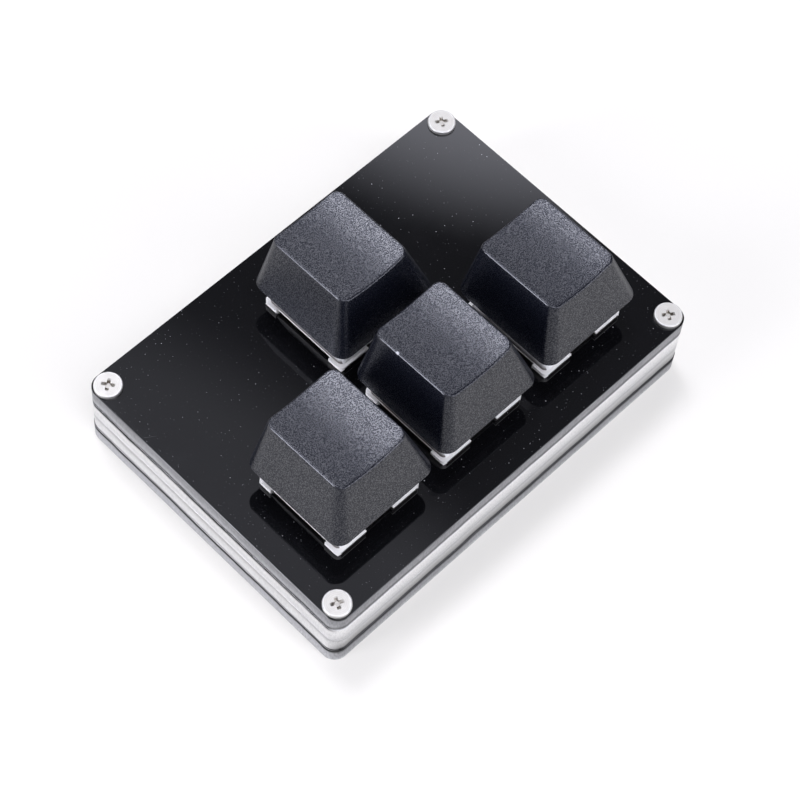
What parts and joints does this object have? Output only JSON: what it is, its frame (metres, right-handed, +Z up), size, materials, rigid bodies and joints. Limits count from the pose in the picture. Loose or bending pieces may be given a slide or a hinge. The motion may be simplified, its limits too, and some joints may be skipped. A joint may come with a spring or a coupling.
{
  "type": "macro keypad",
  "caption": "Small desk keypad: tall sculpted black keycaps on spring-loaded switches in an inverted-T cluster, on a screwed stack of black and clear acrylic sheets.",
  "frame": {"origin": "on the desk, under the middle of the case", "axes": "+X along the row of keys to the right, +Y to the back edge with the cable socket, +Z up through the keys"},
  "size_m": [0.0664, 0.0476, 0.0259],
  "materials": {
    "black_acrylic": "polished cast sheet with satin cut edges",
    "clear_acrylic": "clear sheet with frosted cut edges",
    "nickel_screw": "bright nickel plate",
    "keycap_plastic": "fine moulded grain",
    "housing_white": "satin",
    "housing_milky": "milky, slightly translucent",
    "stem_plastic": "smooth low-friction plastic",
    "spring_steel": "drawn wire",
    "contact_alloy": "stamped and plated",
    "board_laminate": "solder-masked laminate",
    "solder": "bright solder",
    "socket_steel": "drawn and plated shell",
    "socket_plastic": "moulded",
    "gold_contacts": "gold flash",
    "chip_epoxy": "moulded epoxy",
    "tinned_leads": "tin plate",
    "diode_epoxy": "moulded epoxy",
    "resistor_ceramic": "glazed chip with tinned ends",
    "capacitor_ceramic": "fired ceramic with tinned ends"
  },
  "bodies": {
    "case": {"top_plate": "black_acrylic", "upper_frame": "clear_acrylic", "lower_frame": "clear_acrylic", "bottom_plate": "black_acrylic", "case_screws": "nickel_screw", "circuit_board": "board_laminate", "solder_joints": "solder", "usb_shell": "socket_steel", "usb_insert": "socket_plastic", "usb_contacts": "gold_contacts", "controller_chip": "chip_epoxy", "chip_leads": "tinned_leads", "diodes": "diode_epoxy", "resistors": "resistor_ceramic", "capacitors": "capacitor_ceramic", "return_spring_up": "spring_steel", "switch_top_up": "housing_milky", "switch_base_up": "housing_white", "contact_leaf_up": "contact_alloy", "contact_plate_up": "contact_alloy", "return_spring_left": "spring_steel", "switch_top_left": "housing_milky", "switch_base_left": "housing_white", "contact_leaf_left": "contact_alloy", "contact_plate_left": "contact_alloy", "return_spring_down": "spring_steel", "switch_top_down": "housing_milky", "switch_base_down": "housing_white", "contact_leaf_down": "contact_alloy", "contact_plate_down": "contact_alloy", "return_spring_right": "spring_steel", "switch_top_right": "housing_milky", "switch_base_right": "housing_white", "contact_leaf_right": "contact_alloy", "contact_plate_right": "contact_alloy"},
    "key_up": {"keycap_up": "keycap_plastic", "stem_up": "stem_plastic"},
    "key_left": {"keycap_left": "keycap_plastic", "stem_left": "stem_plastic"},
    "key_down": {"keycap_down": "keycap_plastic", "stem_down": "stem_plastic"},
    "key_right": {"keycap_right": "keycap_plastic", "stem_right": "stem_plastic"}
  },
  "joints": [
    {"name": "press_up", "type": "slide", "parent": "case", "child": "key_up", "axis": [0, 0, -1], "range_m": [0, 0.004], "stiffness_N_per_m": 110, "springref_m": -0.0025, "deforming": ["return_spring_up"]},
    {"name": "press_left", "type": "slide", "parent": "case", "child": "key_left", "axis": [0, 0, -1], "range_m": [0, 0.004], "stiffness_N_per_m": 110, "springref_m": -0.0025, "deforming": ["return_spring_left"]},
    {"name": "press_down", "type": "slide", "parent": "case", "child": "key_down", "axis": [0, 0, -1], "range_m": [0, 0.004], "stiffness_N_per_m": 110, "springref_m": -0.0025, "deforming": ["return_spring_down"]},
    {"name": "press_right", "type": "slide", "parent": "case", "child": "key_right", "axis": [0, 0, -1], "range_m": [0, 0.004], "stiffness_N_per_m": 110, "springref_m": -0.0025, "deforming": ["return_spring_right"]}
  ]
}
